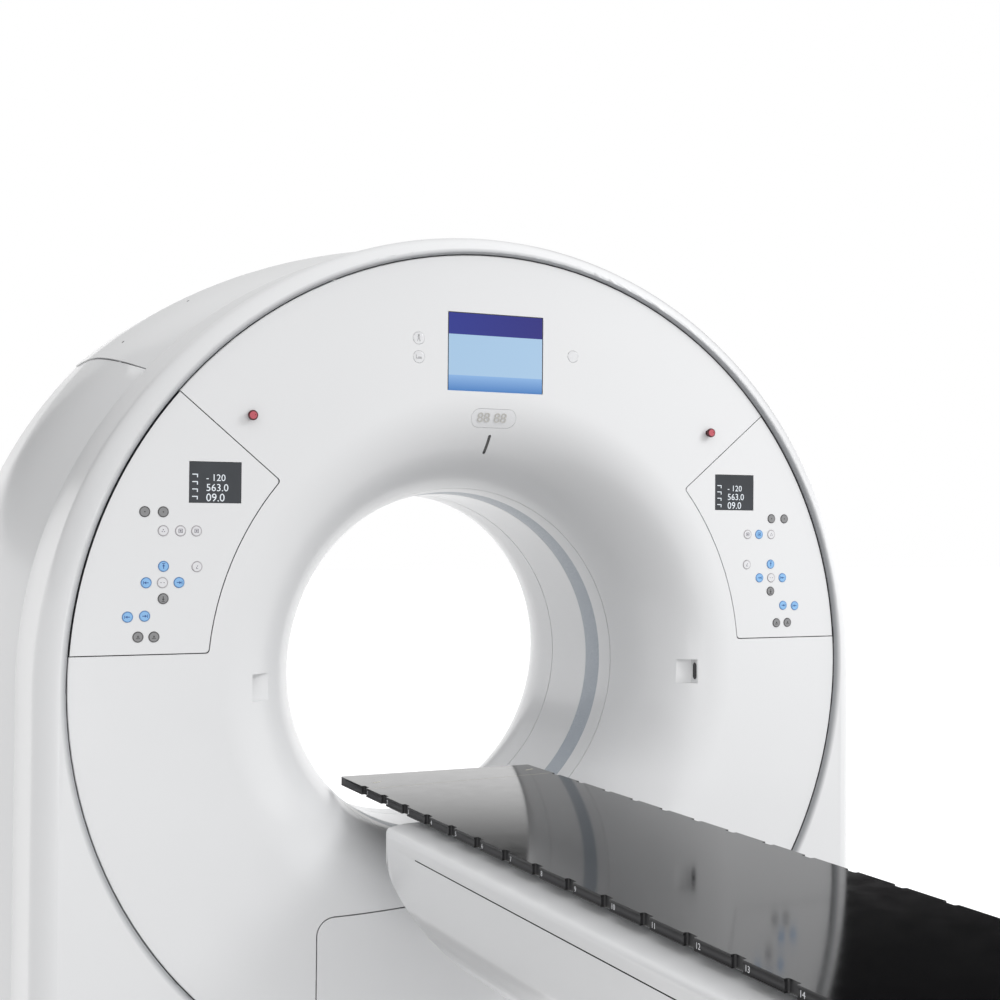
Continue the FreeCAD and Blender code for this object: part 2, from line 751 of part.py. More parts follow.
def make_couch():
    mouth = box(-120, 120, column_y - 200, column_y + 200, body_bottom - 5, body_bottom + 20)
    inner = hull(body_wall, body_plan_corner - body_wall)
    save(hull(0, body_plan_corner).cut([inner, mouth]), "couch_body")

    y0, y1 = column_y - foot_length / 2, column_y + foot_length / 2
    foot = round_plan(foot_half, y0, y1, 0, foot_thick, 70.0)
    s0, s1 = column_y - sleeve_length / 2, column_y + sleeve_length / 2
    sleeve = round_plan(sleeve_half, s0, s1, foot_thick, sleeve_top, 40.0)
    well = round_plan(sleeve_half - 10, s0 + 10, s1 - 10, foot_thick + 20, sleeve_top + 1, 30.0)
    base = foot.fuse(sleeve).cut(well)
    for x in (-couch_anchor_x, couch_anchor_x):
        for y in (-couch_anchor_y, couch_anchor_y):
            base = base.cut(Part.makeCylinder(couch_anchor_r, foot_thick + 2, Vector(x, column_y + y, -1)))
    save(base, "couch_base")

    inset = 10 + column_clear
    column = round_plan(sleeve_half - inset, s0 + inset, s1 - inset, column_low, body_bottom, 26.0)
    hollow = round_plan(sleeve_half - inset - 8, s0 + inset + 8, s1 - inset - 8, column_low - 1,
                        body_bottom + 1, 18.0)
    save(column.cut(hollow), "couch_column")


make_front()
make_panels()
make_screens()
make_buttons()
make_liner()
make_rim()
make_outer_covers()
make_rear()
make_frame()
make_rotor()
make_imaging()
make_tabletop()
make_cradle()
make_couch()
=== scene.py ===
import json
import math
import bpy
import bmesh
from mathutils import Matrix, Vector


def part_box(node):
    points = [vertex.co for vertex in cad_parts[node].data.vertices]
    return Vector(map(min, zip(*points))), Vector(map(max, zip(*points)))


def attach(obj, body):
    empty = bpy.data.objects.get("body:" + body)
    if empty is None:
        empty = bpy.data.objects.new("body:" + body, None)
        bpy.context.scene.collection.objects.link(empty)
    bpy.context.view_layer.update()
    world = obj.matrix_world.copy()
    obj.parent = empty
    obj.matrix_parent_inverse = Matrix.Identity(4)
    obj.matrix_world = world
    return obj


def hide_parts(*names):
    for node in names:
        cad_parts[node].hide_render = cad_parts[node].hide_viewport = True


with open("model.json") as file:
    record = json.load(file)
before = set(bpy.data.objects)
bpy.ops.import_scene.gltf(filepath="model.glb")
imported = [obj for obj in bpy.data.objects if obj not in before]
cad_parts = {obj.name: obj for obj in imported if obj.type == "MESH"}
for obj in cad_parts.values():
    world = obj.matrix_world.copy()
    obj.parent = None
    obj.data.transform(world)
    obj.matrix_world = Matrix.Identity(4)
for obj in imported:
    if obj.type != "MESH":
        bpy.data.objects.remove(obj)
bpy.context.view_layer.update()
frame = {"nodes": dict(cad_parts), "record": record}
nodes = frame["nodes"]
bodyOf = {node: body for body, members in frame["record"]["behaviour"]["bodies"].items() for node in members}
slotOf = {part["node"]: part["material_slot"] for part in frame["record"]["subparts"]}

axisHeight = 1.0      # the bore axis over the floor
printThin = 0.0002    # thickness of printed figures and signs
signThin = 0.0003     # thickness of the bolder ones


class Link:
    # a shader socket that can be used in sums
    def __init__(self, tree, socket):
        self.tree = tree
        self.socket = socket

    def calc(self, operation, first, second):
        step = self.tree.nodes.new("ShaderNodeMath")
        step.operation = operation
        for slot, value in zip(step.inputs, (first, second)):
            if isinstance(value, Link):
                self.tree.links.new(value.socket, slot)
            else:
                slot.default_value = value
        return Link(self.tree, step.outputs[0])

    def __add__(self, other):
        return self.calc("ADD", self, other)

    def __radd__(self, other):
        return self.calc("ADD", other, self)

    def __sub__(self, other):
        return self.calc("SUBTRACT", self, other)

    def __rsub__(self, other):
        return self.calc("SUBTRACT", other, self)

    def __mul__(self, other):
        return self.calc("MULTIPLY", self, other)

    def __rmul__(self, other):
        return self.calc("MULTIPLY", other, self)

    def __truediv__(self, other):
        return self.calc("DIVIDE", self, other)

    def __pow__(self, other):
        return self.calc("POWER", self, other)

    def __gt__(self, other):
        return self.calc("GREATER_THAN", self, other)

    def __lt__(self, other):
        return self.calc("LESS_THAN", self, other)


class Finish:
    # a material with its Principled shader and the few nodes that most finishes start from
    def __init__(self, name, color, roughness, metallic=0.0, **fixed):
        self.material = bpy.data.materials.new(name)
        self.material.use_nodes = True
        self.tree = self.material.node_tree
        self.shader = self.tree.nodes["Principled BSDF"]
        self.shader.inputs["Base Color"].default_value = (*color, 1.0)
        self.shader.inputs["Roughness"].default_value = roughness
        self.shader.inputs["Metallic"].default_value = metallic
        for socketName, value in fixed.items():
            self.shader.inputs[socketName.replace("_", " ")].default_value = value
        self.material.diffuse_color = (*color, 1.0)
        self.color = color

    def node(self, kind, settings, values, output=0):
        made = self.tree.nodes.new("ShaderNode" + kind)
        for key, value in settings.items():
            if key == "stops":
                while len(made.color_ramp.elements) < len(value):
                    made.color_ramp.elements.new(0.5)
                for element, (place, tint) in zip(made.color_ramp.elements, value):
                    element.position = place
                    element.color = tint if len(tint) == 4 else (*tint, 1.0)
            elif key == "interpolation":
                made.color_ramp.interpolation = value
            else:
                setattr(made, key, value)
        for key, value in values.items():
            if isinstance(value, Link):
                self.tree.links.new(value.socket, made.inputs[key])
            else:
                made.inputs[key].default_value = value
        return Link(self.tree, made.outputs[output])

    def place(self):
        return self.node("TexCoord", {}, {}, "Object")

    def axis(self, letter):
        return self.node("SeparateXYZ", {}, {0: self.place()}, letter)

    def noise(self, scale, detail=3.0, roughness=0.5, vector=None):
        start = vector if vector else self.place()
        inputs = {"Vector": start, "Scale": scale, "Detail": detail, "Roughness": roughness}
        return self.node("TexNoise", {}, inputs)

    def ramp(self, factor, stops, interpolation="LINEAR"):
        return self.node("ValToRGB", {"stops": stops, "interpolation": interpolation}, {0: factor})

    def blend(self, factor, low, high):
        low = low if isinstance(low, Link) else (*low, 1.0)
        high = high if isinstance(high, Link) else (*high, 1.0)
        return self.node("Mix", {"data_type": "RGBA"}, {0: factor, 6: low, 7: high}, 2)

    def feed(self, socketName, link):
        self.tree.links.new(link.socket, self.shader.inputs[socketName])

    def bump(self, height, strength, distance):
        normal = self.node("Bump", {}, {"Height": height, "Strength": strength, "Distance": distance})
        self.feed("Normal", normal)

    def drift(self, amount, scale=3.0):
        # slow unevenness in tone, as moulded and painted skins have
        tone = self.noise(scale, 2.0)
        dark = tuple(part * (1 - amount) for part in self.color)
        return self.blend(tone, dark, self.color)


shellLook = {"color": (0.80, 0.805, 0.815), "roughness": 0.34, "peelScale": 900.0, "peel": 0.05, "coat": 0.35}


def makeShellWhite():
    finish = Finish("shellWhite", shellLook["color"], shellLook["roughness"], Coat_Weight=shellLook["coat"],
                    Coat_Roughness=0.12)
    finish.feed("Base Color", finish.drift(0.025))
    grain = finish.noise(shellLook["peelScale"], 2.0)
    finish.feed("Roughness", grain * 0.06 + (shellLook["roughness"] - 0.03))
    finish.bump(grain, shellLook["peel"], 0.0003)
    return finish


# painted shade on the rim's lip: the grey stands for shade on the rolled-in lip, the dark for shadow in the
# gap at its root
lipShadeLook = {"grey": (0.36, 0.37, 0.385), "dark": (0.10, 0.10, 0.105),
           "root": 1.0422, "inner": 1.0455, "outer": 1.0575}


def makeRimWithLipShade():
    # the rim's skin, with painted shade: grey where the lip rolls in to the disc, near black inside its root
    finish = Finish("rimWhiteLipShade", shellLook["color"], shellLook["roughness"], Coat_Weight=shellLook["coat"],
                    Coat_Roughness=0.12)
    x = finish.axis("X")
    height = finish.axis("Z") - axisHeight
    radius = (x * x + height * height) ** 0.5
    reach = {"Value": radius, "From Min": lipShadeLook["inner"], "From Max": lipShadeLook["outer"]}
    rolled = finish.node("MapRange", {}, reach)
    # painted shade: grey on the rolled-in lip fading to white outwards, painted shadow below the lip's root
    skin = finish.blend(rolled, lipShadeLook["grey"], finish.drift(0.025))
    finish.feed("Base Color", finish.blend(radius < lipShadeLook["root"], skin, lipShadeLook["dark"]))
    grain = finish.noise(shellLook["peelScale"], 2.0)
    finish.feed("Roughness", grain * 0.06 + (shellLook["roughness"] - 0.03))
    finish.bump(grain, shellLook["peel"], 0.0003)
    return finish


def makeCradleWhite():
    finish = Finish("cradleWhite", (0.72, 0.73, 0.74), 0.42)
    finish.feed("Base Color", finish.drift(0.05, 5.0))
    grain = finish.noise(600.0, 3.0)
    finish.bump(grain, 0.12, 0.0004)
    return finish


carbonLook = {"color": (0.003, 0.003, 0.0035), "light": (0.007, 0.007, 0.0075), "tow": 0.004,
              "roughness": 0.05, "edge": (0.007, 0.007, 0.008), "core": (0.018, 0.018, 0.020)}


def makeCarbonBlack():
    # lacquered carbon: a faint twill under a clear glossy coat
    finish = Finish("carbonBlack", carbonLook["color"], 0.3)
    pitch = 2 * math.pi / carbonLook["tow"]
    x = finish.axis("X")
    y = finish.axis("Y")
    wave = finish.node("Math", {"operation": "SINE"}, {0: (x + y) * pitch})
    twill = wave * 0.5 + 0.5
    finish.feed("Base Color", finish.blend(twill, carbonLook["color"], carbonLook["light"]))
    scuff = finish.noise(25.0, 5.0)
    finish.feed("Roughness", scuff * 0.06 + carbonLook["roughness"])
    return finish


def makeCarbonEdge():
    # the sawn and sealed edge: skins above and below a greyer foam core
    low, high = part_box("tabletop")
    finish = Finish("carbonEdge", carbonLook["edge"], 0.42)
    height = finish.axis("Z")
    core = (height > low.z + 0.0025) * (height < high.z - 0.0045)
    grain = finish.noise(900.0, 4.0, 0.7)
    tone = finish.blend(core, carbonLook["edge"], carbonLook["core"])
    finish.feed("Base Color", finish.blend(grain * 0.5, tone, (0.004, 0.004, 0.004)))
    finish.feed("Roughness", core * 0.2 + 0.35)
    finish.bump(grain, 0.2, 0.0003)
    return finish


filmLook = {"color": (0.43, 0.475, 0.53), "dark": (0.30, 0.345, 0.40), "light": (0.62, 0.65, 0.69),
            "speckle": 420.0}


def makeWindowFilm():
    finish = Finish("windowFilm", filmLook["color"], 0.38)
    speck = finish.noise(filmLook["speckle"], 4.0, 0.8)
    stops = [(0.36, filmLook["dark"]), (0.5, filmLook["color"]), (0.64, filmLook["light"])]
    tone = finish.ramp(speck, stops)
    finish.feed("Base Color", tone)
    finish.bump(speck, 0.15, 0.0003)
    return finish


# the frame tone is painted shadow of the screen's recess
screenLook = {"navyLeft": (0.0, 0.012, 0.25), "navyRight": (0.0, 0.0, 0.19), "pale": (0.37, 0.56, 0.77),
              "sky": (0.39, 0.58, 0.79), "footTop": (0.24, 0.44, 0.76), "footLow": (0.05, 0.20, 0.52),
              "frame": (0.02, 0.02, 0.03), "bandTop": 0.72, "bandFoot": 0.195, "edge": 0.006, "glow": 0.95}


def makeCentreScreen():
    # a lit picture of three plain bands, with a thin painted shadow of the screen's recess along its top and
    # sides
    low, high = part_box("centre_display")
    finish = Finish("centreScreen", (0.01, 0.01, 0.012), 0.2)
    across = (finish.axis("X") - low.x) * (1 / (high.x - low.x))
    up = (finish.axis("Z") - low.z) * (1 / (high.z - low.z))
    middle = finish.blend(across, screenLook["pale"], screenLook["sky"])
    navy = finish.blend(across, screenLook["navyLeft"], screenLook["navyRight"])
    picture = finish.blend(up > screenLook["bandTop"], middle, navy)
    foot = finish.blend(up * (1 / screenLook["bandFoot"]), screenLook["footLow"], screenLook["footTop"])
    picture = finish.blend(up < screenLook["bandFoot"], picture, foot)
    # the thin dark border along the top and both sides is painted shadow of the screen's recess
    edge = screenLook["edge"]
    clearOfRecessShadow = (across > edge) * (across < 1 - edge) * (up < 1 - edge)
    finish.feed("Emission Color", finish.blend(clearOfRecessShadow, screenLook["frame"], picture))
    sheen = finish.noise(300.0, 2.0)
    finish.feed("Roughness", sheen * 0.05 + 0.18)
    finish.shader.inputs["Emission Strength"].default_value = screenLook["glow"]
    return finish


def makeSideScreen():
    # dark glass, a little uneven
    finish = Finish("sideScreen", (0.02, 0.024, 0.03), 0.22)
    cloud = finish.noise(14.0, 3.0)
    finish.feed("Base Color", finish.blend(cloud, (0.012, 0.015, 0.019), (0.035, 0.042, 0.052)))
    finish.feed("Roughness", cloud * 0.1 + 0.18)
    return finish


lensLook = {"white": (0.78, 0.785, 0.80), "black": (0.006, 0.006, 0.008),
            "slitHalf": 0.01, "slitTop": 1.6, "sideFrom": 0.5}


def makeLens(name, color, roughness):
    # smooth moulded plastic with a trace of unevenness
    finish = Finish(name, color, roughness, Coat_Weight=0.4)
    finish.feed("Base Color", finish.drift(0.04, 40.0))
    haze = finish.noise(700.0, 2.0)
    finish.feed("Roughness", haze * 0.05 + roughness)
    finish.bump(haze, 0.05, 0.0002)
    return finish


def makePlain(name, color, roughness, metallic, grainScale, grain, tone=0.08):
    # painted, cast or moulded skins whose grain and tone vary a little
    finish = Finish(name, color, roughness, metallic)
    finish.feed("Base Color", finish.drift(tone, 8.0))
    height = finish.noise(grainScale, 3.0)
    finish.feed("Roughness", height * 0.12 + (roughness - 0.06))
    finish.bump(height, grain, 0.0004)
    return finish


def makeTurned(name, color, roughness, pitch):
    # metal turned about the bore axis: fine rings
    finish = Finish(name, color, roughness, 1.0)
    x = finish.axis("X")
    height = finish.axis("Z") - axisHeight
    radius = (x * x + height * height) ** 0.5
    groove = finish.node("Math", {"operation": "SINE"}, {0: radius * (2 * math.pi / pitch)})
    finish.feed("Base Color", finish.drift(0.1, 6.0))
    finish.bump(groove, 0.15, 0.0003)
    return finish


finishes = {
    "shell_white": makeShellWhite(),
    "cradle_white": makeCradleWhite(),
    "carbon_black": makeCarbonBlack(),
    "window_film": makeWindowFilm(),
    "display_black": makeSideScreen(),
    "lens_plastic": makeLens("lensWhite", lensLook["white"], 0.25),
    "frame_steel": makePlain("frameSteel", (0.16, 0.18, 0.21), 0.5, 0.0, 300.0, 0.2),
    "bearing_steel": makeTurned("bearingSteel", (0.5, 0.5, 0.52), 0.28, 0.004),
    "motor_grey": makePlain("motorGrey", (0.07, 0.08, 0.09), 0.5, 0.0, 300.0, 0.2),
    "dark_plastic": makePlain("darkPlastic", (0.02, 0.02, 0.022), 0.5, 0.0, 500.0, 0.2),
    "couch_grey": makePlain("couchGrey", (0.40, 0.41, 0.43), 0.45, 0.0, 700.0, 0.15, 0.04),
    "rotor_aluminium": makeTurned("rotorAluminium", (0.62, 0.63, 0.65), 0.35, 0.003),
    "slip_brass": makeTurned("slipBrass", (0.72, 0.53, 0.22), 0.25, 0.02),
    "tube_steel": makePlain("tubeSteel", (0.35, 0.35, 0.34), 0.45, 0.0, 300.0, 0.2),
    "module_grey": makePlain("moduleGrey", (0.35, 0.37, 0.40), 0.4, 0.9, 200.0, 0.15),
    "column_steel": makePlain("columnSteel", (0.30, 0.31, 0.33), 0.42, 0.2, 400.0, 0.15),
    "key_white": makePlain("keyWhite", (0.76, 0.77, 0.80), 0.3, 0.0, 900.0, 0.08, 0.03),
}
rimWhiteLipShade = makeRimWithLipShade()
centreScreen = makeCentreScreen()
carbonEdge = makeCarbonEdge()
lensBlack = makeLens("lensBlack", lensLook["black"], 0.12)
grooveShadowDark = makePlain("grooveShadowDark", (0.012, 0.012, 0.013), 0.6, 0.0, 500.0, 0.1)
printAndGapShadeGrey = makePlain("printAndGapShadeGrey", (0.36, 0.36, 0.37), 0.5, 0.0, 500.0, 0.1)
ghostGrey = makePlain("ghostGrey", (0.60, 0.59, 0.56), 0.5, 0.0, 500.0, 0.1)
creamInk = makePlain("creamInk", (0.62, 0.60, 0.50), 0.5, 0.0, 500.0, 0.1)
print("finishes made:", len(bpy.data.materials))


def newPiece(name, bm, finish, body, angle=30.0):
    # a finished mesh at the origin, shaded smooth but for its sharp edges
    mesh = bpy.data.meshes.new(name)
    bm.to_mesh(mesh)
    bm.free()
    materials = finish if isinstance(finish, (list, tuple)) else [finish]
    for look in materials:
        mesh.materials.append(look.material)
    mesh.shade_smooth()
    mesh.set_sharp_from_angle(angle=math.radians(angle))
    piece = bpy.data.objects.new(name, mesh)
    bpy.context.scene.collection.objects.link(piece)
    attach(piece, body)
    return piece


def cadCopy(node):
    # a merged copy of a CAD node's mesh
    bm = bmesh.new()
    bm.from_mesh(nodes[node].data)
    bmesh.ops.remove_doubles(bm, verts=bm.verts, dist=0.00002)
    for face in bm.faces:
        face.material_index = 0
    return bm


def smoothNode(node, finish, angle=30.0):
    piece = newPiece(node + "_skin", cadCopy(node), finish, bodyOf[node], angle)
    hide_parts(node)
    return piece


def setLook(node, finish):
    mesh = nodes[node].data
    mesh.materials.clear()
    mesh.materials.append(finish.material)


shellShape = {"bore": 0.450, "bell": 0.700, "bellMiddle": 0.030, "bellDepth": 0.350, "flareMiddle": 0.308,
              "flareDepth": 0.302, "archZ": 0.980, "rimFlat": 1.045, "rimCornerY": -0.269, "lipOuter": 1.058,
              "lipY": -0.318, "sideLean": 0.04, "agree": 0.85}


def mouthDirection(place, middle, depth, side):
    # which way the skin faces on a flat face, the elliptic mouth in it and the bore behind
    radius = math.hypot(place.x, place.z - axisHeight)
    out = Vector((place.x / radius, 0.0, (place.z - axisHeight) / radius))
    if radius > shellShape["bell"] - 0.0005:
        return Vector((0, side, 0))
    if side * (place.y - middle) < 0:
        return -out
    reach = shellShape["bell"] - shellShape["bore"]
    inward = (shellShape["bell"] - radius) / reach ** 2
    return (out * -inward + Vector((0, (place.y - middle) / depth ** 2, 0))).normalized()


def frontDirection(place):
    return mouthDirection(place, shellShape["bellMiddle"], shellShape["bellDepth"], -1)


def rearDirection(place):
    return mouthDirection(place, shellShape["flareMiddle"], shellShape["flareDepth"], 1)


def rimDirection(place):
    # the lip rolls in about the bore axis, the outer edge rounds over about the arch
    radius = math.hypot(place.x, place.z - axisHeight)
    if radius < shellShape["lipOuter"]:
        out = Vector((place.x / radius, 0.0, (place.z - axisHeight) / radius))
        ahead = min(0.0, place.y - shellShape["lipY"])
        rolled = out * (radius - shellShape["lipOuter"]) + Vector((0, ahead, 0))
        return rolled.normalized()
    lift = max(0.0, place.z - shellShape["archZ"])
    reach = math.hypot(place.x, lift)
    out = Vector((place.x / reach, 0.0, lift / reach))
    if reach < shellShape["rimFlat"]:
        return Vector((0, -1, 0))
    if place.y > shellShape["rimCornerY"]:
        return (out + Vector((0, -shellShape["sideLean"], 0))).normalized()
    turned = out * (reach - shellShape["rimFlat"]) + Vector((0, place.y - shellShape["rimCornerY"], 0))
    return turned.normalized()


def trueNormals(piece, direction):
    # corners take the curve's own direction where their face lies close to it
    mesh = piece.data
    facing = []
    for polygon in mesh.polygons:
        for index in polygon.loop_indices:
            wanted = direction(mesh.vertices[mesh.loops[index].vertex_index].co)
            agree = wanted.dot(polygon.normal)
            if agree > shellShape["agree"]:
                facing.append(wanted)
            elif agree < -shellShape["agree"]:
                facing.append(-wanted)
            else:
                facing.append(mesh.corner_normals[index].vector.copy())
    mesh.normals_split_custom_set(facing)


def evenNormals(piece):
    # flat faces keep their own direction beside small rounded edges
    even = piece.modifiers.new("even", "WEIGHTED_NORMAL")
    even.keep_sharp = True


for node in ("front_cover", "bore_liner", "scan_window", "service_panel"):
    trueNormals(smoothNode(node, finishes[slotOf[node]]), frontDirection)
trueNormals(smoothNode("rear_cover", finishes["shell_white"]), rearDirection)
trueNormals(smoothNode("rim_cover", rimWhiteLipShade), rimDirection)
for node in ("left_side_cover", "right_side_cover", "top_cover", "couch_base", "couch_column", "cradle"):
    evenNormals(smoothNode(node, finishes[slotOf[node]]))
print("shell skins made")


grooveLook = {"low": 0.6170, "high": 0.6196, "farY": -0.626, "nearY": -2.44, "depth": 0.003}


def sideFaces(bm, sideX):
    return [face for face in bm.faces if abs(face.normal.x) > 0.99
            and all(abs(vert.co.x - sideX) < 0.0006 for vert in face.verts)]


def cutGroove(bm, sideX):
    # slices the flat side along the groove's outline, sinks the strip between and paints its faces near black
    # as painted shade in the groove
    cuts = [((0, 0, grooveLook["low"]), (0, 0, 1)), ((0, 0, grooveLook["high"]), (0, 0, 1)),
            ((0, grooveLook["farY"], 0), (0, 1, 0)), ((0, grooveLook["nearY"], 0), (0, 1, 0))]
    for place, across in cuts:
        faces = sideFaces(bm, sideX)
        edges = list({edge for face in faces for edge in face.edges})
        verts = list({vert for face in faces for vert in face.verts})
        bmesh.ops.bisect_plane(bm, geom=faces + edges + verts, dist=0.00001, plane_co=place, plane_no=across)
    strip = []
    for face in sideFaces(bm, sideX):
        middle = face.calc_center_median()
        inHeight = grooveLook["low"] < middle.z < grooveLook["high"]
        if inHeight and grooveLook["nearY"] < middle.y < grooveLook["farY"]:
            strip.append(face)
    sunk = bmesh.ops.extrude_face_region(bm, geom=strip)["geom"]
    moved = [item for item in sunk if isinstance(item, bmesh.types.BMVert)]
    inward = -math.copysign(grooveLook["depth"], sideX)
    bmesh.ops.translate(bm, vec=(inward, 0, 0), verts=moved)
    old = [face for face in strip if face.is_valid]
    bmesh.ops.delete(bm, geom=old, context="FACES_ONLY")
    # the sunk faces are painted near black: painted shade in the groove
    for vert in moved:
        for face in vert.link_faces:
            face.material_index = 1


def makeCouchBody():
    bm = cadCopy("couch_body")
    low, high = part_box("couch_body")
    for sideX in (low.x, high.x):
        cutGroove(bm, sideX)
    piece = newPiece("couch_body_skin", bm, [finishes["shell_white"], grooveShadowDark], "couch")
    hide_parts("couch_body")
    evenNormals(piece)


makeCouchBody()


topLook = {"bevel": 0.0005, "line": 0.0012, "lineFar": -0.1161, "lineNear": -0.1660, "numberSize": 0.0150,
           "lineStart": 0.0155, "lineEnd": 0.0125, "firstNotch": -0.1373, "pitch": 0.140, "notches": 17,
           "notchHalf": 0.016, "recess": 0.001, "numberGap": 0.004, "digitWidth": 0.0085,
           "corners": ((-0.218, -0.082), (0.238, -0.041)), "cornerSize": (0.030, 0.006), "cornerLean": 0.5}


def makeTabletop():
    low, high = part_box("tabletop")
    bm = cadCopy("tabletop")
    bmesh.ops.dissolve_limit(bm, angle_limit=0.01, verts=bm.verts, edges=bm.edges)
    sharp = [edge for edge in bm.edges if len(edge.link_faces) == 2 and edge.calc_face_angle() > 0.7
             and min(vert.co.z for vert in edge.verts) > high.z - 0.0001]
    bmesh.ops.bevel(bm, geom=sharp, offset=topLook["bevel"], segments=2, profile=0.5, affect="EDGES",
                    material=-1)
    for face in bm.faces:
        if face.calc_center_median().z < high.z - 0.0001:
            face.material_index = 1
    looks = [finishes["carbon_black"], carbonEdge]
    piece = newPiece("tabletop_skin", bm, looks, "table", 50.0)
    trueNormals(piece, lambda place: Vector((0, 0, 1)))
    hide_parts("tabletop")


makeTabletop()


def letters(text, size, depth):
    # plain figures as a thin solid in the XY plane, centred up and down, starting at x 0
    curve = bpy.data.curves.new("figures", "FONT")
    curve.body = text
    curve.size = size
    curve.extrude = depth
    curve.align_y = "CENTER"
    curve.resolution_u = 3
    holder = bpy.data.objects.new("figures", curve)
    mesh = bpy.data.meshes.new_from_object(holder)
    bpy.data.objects.remove(holder)
    bm = bmesh.new()
    bm.from_mesh(mesh)
    bmesh.ops.remove_doubles(bm, verts=bm.verts, dist=0.000005)
    return bm


def addTo(target, source, matrix):
    # moves a small mesh into its place in a larger one
    bmesh.ops.transform(source, matrix=matrix, verts=source.verts)
    mesh = bpy.data.meshes.new("part")
    source.to_mesh(mesh)
    source.free()
    target.from_mesh(mesh)
    bpy.data.meshes.remove(mesh)


def facing(right, up, place):
    # a matrix whose x runs along right and y along up
    right = Vector(right).normalized()
    up = Vector(up).normalized()
    turn = Matrix((right, up, right.cross(up))).transposed().to_4x4()
    return Matrix.Translation(place) @ turn


def makeEdgeNumbers():
    low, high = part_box("tabletop")
    bm = bmesh.new()
    middle = (low.z + high.z) / 2 - 0.001
    inset = topLook["recess"]
    for index in range(topLook["notches"]):
        notchEnd = topLook["firstNotch"] - topLook["pitch"] * index - topLook["notchHalf"]
        start = notchEnd - topLook["numberGap"]
        text = str(index + 1)
        width = topLook["digitWidth"] * len(text)
        left = facing((0, -1, 0), (0, 0, 1), (low.x + inset, start, middle))
        right = facing((0, 1, 0), (0, 0, 1), (high.x - inset, start - width, middle))
        addTo(bm, letters(text, topLook["numberSize"], printThin), left)
        addTo(bm, letters(text, topLook["numberSize"], printThin), right)
    newPiece("edge_numbers", bm, finishes["key_white"], "table")


def bar(bm, width, height, depth, matrix):
    made = bmesh.ops.create_cube(bm, size=1.0)["verts"]
    shape = Matrix.Diagonal((width, height, depth, 1.0))
    bmesh.ops.transform(bm, matrix=matrix @ shape, verts=made)


def disc(bm, radius, depth, segments, matrix, turn=0.0):
    made = bmesh.ops.create_cone(bm, cap_ends=True, segments=segments, radius1=radius, radius2=radius,
                                 depth=depth)
    bmesh.ops.transform(bm, matrix=matrix @ Matrix.Rotation(turn, 4, "Z"), verts=made["verts"])


def hoop(bm, inner, outer, depth, matrix):
    # a flat ring: a round face inset, its middle taken out and the rest given a thickness
    ring = bmesh.new()
    bmesh.ops.create_circle(ring, cap_ends=True, segments=32, radius=outer)
    ring.faces.ensure_lookup_table()
    middle = ring.faces[0]
    bmesh.ops.inset_region(ring, faces=[middle], thickness=outer - inner)
    bmesh.ops.delete(ring, geom=[middle], context="FACES_ONLY")
    raised = bmesh.ops.extrude_face_region(ring, geom=ring.faces[:], use_keep_orig=True)["geom"]
    top = [item for item in raised if isinstance(item, bmesh.types.BMVert)]
    bmesh.ops.translate(ring, vec=(0, 0, depth), verts=top)
    addTo(bm, ring, matrix)


def makeTopMarks():
    # a thin cross line near the far end and two small corner marks
    low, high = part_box("tabletop")
    bm = bmesh.new()
    farX = high.x - topLook["lineEnd"]
    nearX = low.x + topLook["lineStart"]
    run = Vector((farX - nearX, topLook["lineFar"] - topLook["lineNear"], 0))
    top = high.z + 0.00005
    place = Vector(((farX + nearX) / 2, (topLook["lineFar"] + topLook["lineNear"]) / 2, top))
    upward = Vector((0, 0, 1)).cross(run)
    bar(bm, run.length, topLook["line"], printThin, facing(run, upward, place))
    lean = topLook["cornerLean"]
    for x, y in topLook["corners"]:
        bar(bm, *topLook["cornerSize"], printThin, facing((1, lean, 0), (-lean, 1, 0), (x, y, top)))
    newPiece("top_marks", bm, creamInk, "table")


makeEdgeNumbers()
makeTopMarks()
print("couch and tabletop made")


# each rim tone is painted shade of the gap round the key's cap; face and ink are the key's own colours
keyTones = {
    "key_blue": {"rim": (0.11, 0.28, 0.60), "face": (0.27, 0.52, 0.84), "ink": (0.02, 0.09, 0.32)},
    "key_grey": {"rim": (0.07, 0.07, 0.072), "face": (0.26, 0.26, 0.265), "ink": (0.035, 0.035, 0.037)},
    "key_white": {"rim": (0.50, 0.48, 0.50), "face": (0.78, 0.78, 0.80), "ink": (0.16, 0.15, 0.19)},
}
keyFinishes = {}
for slot, tones in keyTones.items():
    name = slot.replace("_", "")
    keyFinishes[slot] = {tone: makePlain(name + tone, color, 0.32, 0.0, 900.0, 0.06, 0.04)
                         for tone, color in tones.items()}


keySigns = {"lamp_outer": "ring", "lamp_inner": "ring", "preset_outer": "dots", "preset_middle": "frame",
            "preset_inner": "frame", "table_up": "up", "laser": "slash", "table_out": "left",
            "centre": "dash", "table_in": "right", "table_down": "down", "fast_outer": "left",
            "fast_inner": "right", "home_outer": "home", "home_inner": "home"}
arrowTurns = {"up": math.pi / 2, "down": -math.pi / 2, "left": math.pi, "right": 0.0}

